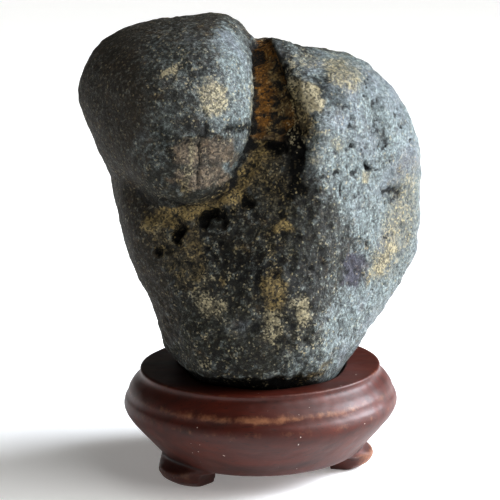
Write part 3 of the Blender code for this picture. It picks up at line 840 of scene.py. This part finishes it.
def profile_curve():
    """The turned side as a dense rounded line of radius and height, with its crisp corners kept."""
    points = np.array(TURNED_PROFILE)
    crisp = [height in CRISP_HEIGHTS for _, height in TURNED_PROFILE]
    line = [points[0]]
    for i in range(len(points) - 1):
        before = points[i] if crisp[i] or i == 0 else points[i - 1]
        after = points[i + 1] if crisp[i + 1] or i + 2 == len(points) else points[i + 2]
        for t in np.linspace(0, 1, 7)[1:]:
            line.append(catmull_rom(before, points[i], points[i + 1], after, t))
    return np.array(line)


def catmull_rom(before, start, end, after, t):
    """A point of the curve that runs smoothly from start to end."""
    return 0.5 * (
        2 * start + (end - before) * t + (2 * before - 5 * start + 4 * end - after) * t ** 2
        + (3 * start - before - 3 * end + after) * t ** 3
    )


def turned_body(steps):
    """The body as it comes off the lathe, without its seat and feet."""
    line = [(0.0, PLATE_TOP), *profile_curve(), (0.0, UNDERSIDE)]
    line = [(radius * MM, height * MM) for radius, height in line]
    body = turned_piece("rosewood_stand", line, steps)
    body.location.x = AXIS_X * MM
    return body


def seat_cutter(rock_mesh):
    """A flat-floored pocket that follows the foot of the rock."""
    points = positions(rock_mesh)
    low = points[points[:, 2] < PLATE_TOP + 0.2]
    radius = np.hypot(low[:, 0] - AXIS_X, low[:, 1])
    turn = np.arctan2(low[:, 1], low[:, 0] - AXIS_X)
    shape = bmesh.new()
    bmesh.ops.create_circle(shape, cap_ends=True, segments=SEAT_STEPS, radius=1.0)
    for vertex in shape.verts:
        away = np.abs((turn - math.atan2(vertex.co.y, vertex.co.x) + math.pi) % math.tau - math.pi)
        reach = radius[away < 1.5 * math.pi / SEAT_STEPS].max() + SEAT_CLEARANCE
        vertex.co *= reach
    upward = bmesh.ops.extrude_face_region(shape, geom=shape.faces[:])["geom"]
    raised = [item for item in upward if isinstance(item, bmesh.types.BMVert)]
    bmesh.ops.translate(shape, verts=raised, vec=(0.0, 0.0, CUTTER_HEIGHT))
    bmesh.ops.recalc_face_normals(shape, faces=shape.faces[:])
    bmesh.ops.transform(
        shape, matrix=Matrix.Scale(MM, 4) @ Matrix.Translation((AXIS_X, 0.0, SEAT_FLOOR)),
        verts=shape.verts[:],
    )
    return piece_from(shape, "seat_cutter")


def foot_shape(bearing):
    """One bulging foot, wide where it springs from the lower edge and rounded below."""
    shape = bmesh.new()
    bmesh.ops.create_cube(shape, size=1.0)
    crosswise = [e for e in shape.edges if abs(e.verts[0].co.x - e.verts[1].co.x) > 0.5]
    bmesh.ops.subdivide_edges(shape, edges=crosswise, cuts=FOOT_CUTS_ACROSS, use_grid_fill=True)
    upright = [e for e in shape.edges if abs(e.verts[0].co.z - e.verts[1].co.z) > 0.5]
    bmesh.ops.subdivide_edges(shape, edges=upright, cuts=FOOT_CUTS_UP, use_grid_fill=True)
    heights, widths, middles, ends = zip(*FOOT_LEVELS)
    steps = range(len(FOOT_LEVELS))
    for vertex in shape.verts:
        level = (vertex.co.z + 0.5) * steps[-1]
        across = vertex.co.x * 2
        turn = math.radians(bearing + across * np.interp(level, steps, widths))
        end = np.interp(level, steps, ends)
        radius = end + (np.interp(level, steps, middles) - end) * (1 - abs(across) ** 2.5)
        if vertex.co.y > 0:
            radius = FOOT_INNER_RADIUS
        height = np.interp(level, steps, heights)
        vertex.co = Vector((radius * math.sin(turn), -radius * math.cos(turn), height)) * MM
    bmesh.ops.translate(shape, verts=shape.verts[:], vec=(AXIS_X * MM, 0.0, 0.0))
    bmesh.ops.recalc_face_normals(shape, faces=shape.faces[:])
    return piece_from(shape, "foot_shape")


def check_joins(mesh):
    """Raises an error if the seat wasn't cut or a foot wasn't joined."""
    points = positions(mesh)
    spots = {"seat": (AXIS_X, 0.0, SEAT_FLOOR)}
    for bearing in FOOT_BEARINGS:
        turn = math.radians(bearing)
        spots[f"foot at {bearing}"] = (
            AXIS_X + FOOT_CENTRE * math.sin(turn), -FOOT_CENTRE * math.cos(turn), 0.0
        )
    for name, spot in spots.items():
        if np.linalg.norm(points - spot, axis=1).min() > 1.0:
            raise RuntimeError(f"the stand has come out without its {name}")


def true_up(mesh):
    """Brings the turned side back to its exact curve."""
    points = positions(mesh)
    radial = points[:, :2] - (AXIS_X, 0.0)
    radius = np.hypot(*radial.T)
    height = points[:, 2]
    line = profile_curve()
    segments = np.stack([line[:-1], line[1:]], axis=1)
    side = np.flatnonzero((height > TRUED_ABOVE) & (radius > TRUED_OUTSIDE))
    for chunk in np.array_split(side, TRUING_CHUNKS):
        spot = np.stack([radius[chunk], height[chunk]], axis=1)[:, None]
        run = segments[None, :, 1] - segments[None, :, 0]
        along = ((spot - segments[None, :, 0]) * run).sum(-1) / (run ** 2).sum(-1)
        nearest = segments[None, :, 0] + np.clip(along, 0, 1)[..., None] * run
        pick = ((spot - nearest) ** 2).sum(-1).argmin(axis=1)
        target = nearest[np.arange(len(chunk)), pick]
        points[chunk, :2] = radial[chunk] / radius[chunk, None] * target[:, :1] + (AXIS_X, 0.0)
        points[chunk, 2] = target[:, 1]
    place(mesh, points)


def wear_wood(mesh):
    """Presses small dents into the wood, and notes where the stain is rubbed or dirty."""
    points = positions(mesh)
    dents = np.minimum(cloud(points, 6.0, octaves=2, seed=2.0), 0.0)
    height = points[:, 2]
    off_floor = smoothstep(0.0, 1.0, height)
    points = points + normals(mesh) * (DENT_DEPTH * dents * off_floor)[:, None]
    place(mesh, points)
    x, y, _ = points.T
    radius = np.hypot(x - AXIS_X, y)
    bearing = np.degrees(np.arctan2(x - AXIS_X, -y))
    hollow = hollowness(mesh, points, 10)
    upper_bead = np.exp(-((height - UPPER_BEAD) / 1.5) ** 2) * smoothstep(39.5, 41.5, radius)
    front_left = np.exp(-((bearing + 2.0) / 42.0) ** 2)
    lower_bead = np.exp(-((height - LOWER_BEAD) / 1.2) ** 2) * smoothstep(43.2, 44.2, radius)
    rim = smoothstep(38.2, 38.9, radius) * smoothstep(34.0, 34.5, height)
    foot = smoothstep(7.5, 5.0, height) * smoothstep(31.0, 34.0, radius)
    right_foot = smoothstep(60.0, 80.0, bearing)
    rubbed = upper_bead * (0.35 + 0.55 * front_left) + 0.3 * lower_bead + 0.15 * rim
    rubbed += foot * (0.25 + 0.5 * right_foot) + 0.25 * np.clip(-hollow / 0.15, 0.0, 1.0)
    rubbed += 0.25 * cloud(points, 5.0, seed=8.0) * (rubbed > 0.05)
    store(mesh, "rubbed", np.clip(rubbed, 0.0, 1.0))
    store(mesh, "grime", np.clip(hollow / 0.12, 0.0, 1.0))


def rosewood_material(settings):
    """Turned rosewood under rubbed shellac: long fine figure, open pores and a soft gloss."""
    material, tree, where = blank_material("rosewood, turned, stained and shellacked")
    # the grain runs across the blank, along X, so its patterns are drawn out that way
    along_grain = add_node(
        tree, "ShaderNodeMapping", {"Scale": (0.12, 1.0, 1.0)}, {"Vector": where}
    ).outputs[0]
    # which way each pattern runs, its size in mm, its octaves, and how rough they are
    patterns = {}
    for name, (vector, size, detail, roughness) in {
        "figure": (along_grain, 4.0, 4.0, 0.6),
        "fibre": (along_grain, 0.5, 2.0, 0.6),
        "patches": (where, 2.2, 5.0, 0.7),
        "handling": (where, 16.0, 3.0, 0.5),
        # real lint is finer, and is drawn coarser so that it shows
        "lint": (where, 1.3, 1.0, 0.5),
    }.items():
        patterns[name] = add_node(
            tree, "ShaderNodeTexNoise",
            {"Scale": 1.0 / (size * MM), "Detail": detail, "Roughness": roughness},
            {"Vector": vector},
        ).outputs[0]
    masks = {
        name: add_node(tree, "ShaderNodeAttribute", {"attribute_name": name}).outputs["Fac"]
        for name in ("rubbed", "grime")
    }
    redness = add_node(
        tree, "ShaderNodeMapRange", {"From Min": 0.2, "From Max": 0.7}, {"Value": patterns["figure"]}
    ).outputs[0]
    colour = add_node(
        tree, "ShaderNodeMix",
        {"data_type": "RGBA", MIX_A: (*settings.dark_wood, 1.0), MIX_B: (*settings.wood, 1.0)},
        {"Factor": redness},
    ).outputs[MIX_RESULT]
    layers = (
        (settings.dark_wood, None, "fibre", 1.0, 0.58, 0.72),
        (settings.rubbed, "rubbed", "patches", 1.6, 1.1, 2.1),
        (settings.grime, "grime", "patches", 0.8, 0.9, 1.7),
        (settings.dust, None, "lint", 1.0, 0.785, 0.8),
    )
    colour = layered(tree, colour, layers, patterns, masks)
    surface = {}
    for name, depth in (("fibre", 0.05), ("patches", 0.08)):
        surface["Normal"] = add_node(
            tree, "ShaderNodeBump", {"Strength": 0.6, "Distance": depth * MM},
            {"Height": patterns[name], **surface},
        ).outputs["Normal"]
    gloss = add_node(
        tree, "ShaderNodeMapRange", {"From Min": 0.3, "From Max": 0.7, "To Min": 0.42, "To Max": 0.56},
        {"Value": patterns["handling"]},
    ).outputs[0]
    shader = add_node(
        tree, "ShaderNodeBsdfPrincipled",
        {"IOR": 1.5, "Coat Weight": 0.12, "Coat Roughness": 0.36},
        {"Base Color": colour, "Roughness": gloss, **surface},
    )
    add_node(tree, "ShaderNodeOutputMaterial", {}, {"Surface": shader.outputs[0]})
    return material


# ---------- stage

def acrylic_material(settings):
    """Matt opal acrylic lit a little from below, which keeps the shadow on it pale."""
    material = bpy.data.materials.new("opal acrylic sheet, sanded matt")
    material.use_nodes = True
    shader = material.node_tree.nodes["Principled BSDF"]
    shader.inputs["Base Color"].default_value = (*settings.floor, 1.0)
    shader.inputs["Roughness"].default_value = 0.95
    shader.inputs["Emission Color"].default_value = (*settings.floor, 1.0)
    shader.inputs["Emission Strength"].default_value = settings.glow
    return material


def cove_floor():
    """A round floor whose far edge curves up, so that it fills low views too."""
    line = [(0.0, 0.0), *((FLOOR_RADIUS * share, 0.0) for share in (0.05, 0.2, 0.5))]
    line += [
        (
            FLOOR_RADIUS * (COVE_START + (1.0 - COVE_START) * math.sin(turn)),
            COVE_HEIGHT * (1 - math.cos(turn)),
        )
        for turn in np.linspace(0, math.pi / 2, COVE_STEPS)
    ]
    floor = turned_piece("acrylic_floor", line, FLOOR_STEPS)
    floor.modifiers["Turned"].use_normal_flip = True
    apply_modifiers(floor)
    return floor


def dim_room(settings):
    """The faint warm light that comes from all round."""
    world = bpy.data.worlds.new("dim room")
    world.use_nodes = True
    room = world.node_tree.nodes["Background"]
    room.inputs["Color"].default_value = (*settings.warm, 1.0)
    room.inputs["Strength"].default_value = settings.room
    bpy.context.scene.world = world


def even_daylight(settings):
    """Wide daylight from the upper right, which throws the long soft shadow."""
    light = bpy.data.lights.new("daylight", "SUN")
    light.energy = settings.sun
    light.angle = SUN_SPREAD
    light.color = settings.daylight
    lamp = add_piece("daylight", light)
    lamp.rotation_euler = (0.0, SUN_TILT, SUN_TURN)


def soft_window(settings):
    """A window at the right, which gives the worn side of the stone its sheen."""
    light = bpy.data.lights.new("window at the right", "AREA")
    light.shape = "RECTANGLE"
    light.size = light.size_y = WINDOW_WIDTH
    light.energy = settings.window
    light.color = settings.cool
    lamp = add_piece("window at the right", light)
    lamp.location = WINDOW_PLACE
    aim = Vector(WINDOW_AIM) - Vector(WINDOW_PLACE)
    lamp.rotation_euler = aim.to_track_quat("-Z", "Y").to_euler()


def place_camera():
    """A long lens from a little above, so that the plate shows as a flat oval."""
    camera = add_piece("camera", bpy.data.cameras.new("camera"))
    camera.data.lens = CAMERA_LENS
    camera.data.sensor_width = CAMERA_FRAME
    camera.matrix_world = (
        Matrix.Translation(CAMERA_PLACE)
        @ Matrix.Rotation(math.pi / 2 - CAMERA_DOWN, 4, "X")
        @ Matrix.Rotation(CAMERA_ROLL, 4, "Z")
    )
    bpy.context.scene.camera = camera


# ---------- operators

class SCHOLARSROCK_OT_stone(bpy.types.Operator):
    """Carve the fine weathering into the stone and colour it"""
    bl_idname = "scholarsrock.stone"
    bl_label = "Weather the Stone"

    def execute(self, context):
        settings = context.scene.scholars_stone
        rock = copy_of_node("rock", "weathered_rock")
        area = sum(face.area for face in rock.data.polygons)
        spacing = math.sqrt(REMESH_EXCESS * 2 * area / settings.triangles)
        even_mesh(rock, spacing, STONE_EDGE_ROUNDS)
        weather(rock.data, settings)
        rock.data.materials.append(stone_material(settings))
        rock.data.shade_smooth()
        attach(rock, "root")
        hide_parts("rock")
        return {"FINISHED"}


class SCHOLARSROCK_OT_stand(bpy.types.Operator):
    """Turn the stand, cut its seat and feet, and finish the wood"""
    bl_idname = "scholarsrock.stand"
    bl_label = "Turn the Stand"

    def execute(self, context):
        settings = context.scene.scholars_stand
        stand = turned_body(settings.steps)
        helpers = [seat_cutter(bpy.data.objects["weathered_rock"].data)]
        helpers += [foot_shape(bearing) for bearing in FOOT_BEARINGS]
        for helper in helpers:
            join = stand.modifiers.new(helper.name, "BOOLEAN")
            join.operation = "DIFFERENCE" if helper is helpers[0] else "UNION"
            join.object = helper
        apply_modifiers(stand)
        stand.data.transform(Matrix.Translation(stand.location))
        stand.location = (0.0, 0.0, 0.0)
        for helper in helpers:
            bpy.data.objects.remove(helper)
        even_mesh(stand, settings.spacing, STAND_EDGE_ROUNDS)
        check_joins(stand.data)
        true_up(stand.data)
        wear_wood(stand.data)
        stand.data.materials.append(rosewood_material(settings))
        stand.data.shade_smooth()
        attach(stand, "root")
        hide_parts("stand")
        return {"FINISHED"}


class SCHOLARSROCK_OT_stage(bpy.types.Operator):
    """Lay the floor, hang the lights and place the camera"""
    bl_idname = "scholarsrock.stage"
    bl_label = "Set the Stage"

    def execute(self, context):
        settings = context.scene.scholars_stage
        floor = cove_floor()
        floor.data.materials.append(acrylic_material(settings))
        dim_room(settings)
        even_daylight(settings)
        soft_window(settings)
        place_camera()
        context.scene.view_settings.view_transform = "Standard"
        context.scene.view_settings.gamma = VIEW_GAMMA
        return {"FINISHED"}


class SCHOLARSROCK_PT_panel(bpy.types.Panel):
    """The sizes, colours and button of each piece and of the stage"""
    bl_label = "Scholar's Rock"
    bl_idname = "SCHOLARSROCK_PT_panel"
    bl_space_type = "VIEW_3D"
    bl_region_type = "UI"
    bl_category = "Scholar's Rock"

    def draw(self, context):
        for title, settings, operator in (
            ("Stone", context.scene.scholars_stone, SCHOLARSROCK_OT_stone),
            ("Stand", context.scene.scholars_stand, SCHOLARSROCK_OT_stand),
            ("Stage", context.scene.scholars_stage, SCHOLARSROCK_OT_stage),
        ):
            box = self.layout.box()
            box.label(text=title)
            for name in settings.__annotations__:
                box.prop(settings, name)
            box.operator(operator.bl_idname)


CLASSES = (
    StoneSettings, StandSettings, StageSettings, SCHOLARSROCK_OT_stone, SCHOLARSROCK_OT_stand,
    SCHOLARSROCK_OT_stage, SCHOLARSROCK_PT_panel,
)


def register():
    for item in CLASSES:
        bpy.utils.register_class(item)
    bpy.types.Scene.scholars_stone = PointerProperty(type=StoneSettings)
    bpy.types.Scene.scholars_stand = PointerProperty(type=StandSettings)
    bpy.types.Scene.scholars_stage = PointerProperty(type=StageSettings)


def unregister():
    del bpy.types.Scene.scholars_stage
    del bpy.types.Scene.scholars_stand
    del bpy.types.Scene.scholars_stone
    for item in reversed(CLASSES):
        bpy.utils.unregister_class(item)


def main():
    register()
    bpy.ops.scholarsrock.stone()
    bpy.ops.scholarsrock.stand()
    bpy.ops.scholarsrock.stage()


if __name__ == "__main__":
    main()
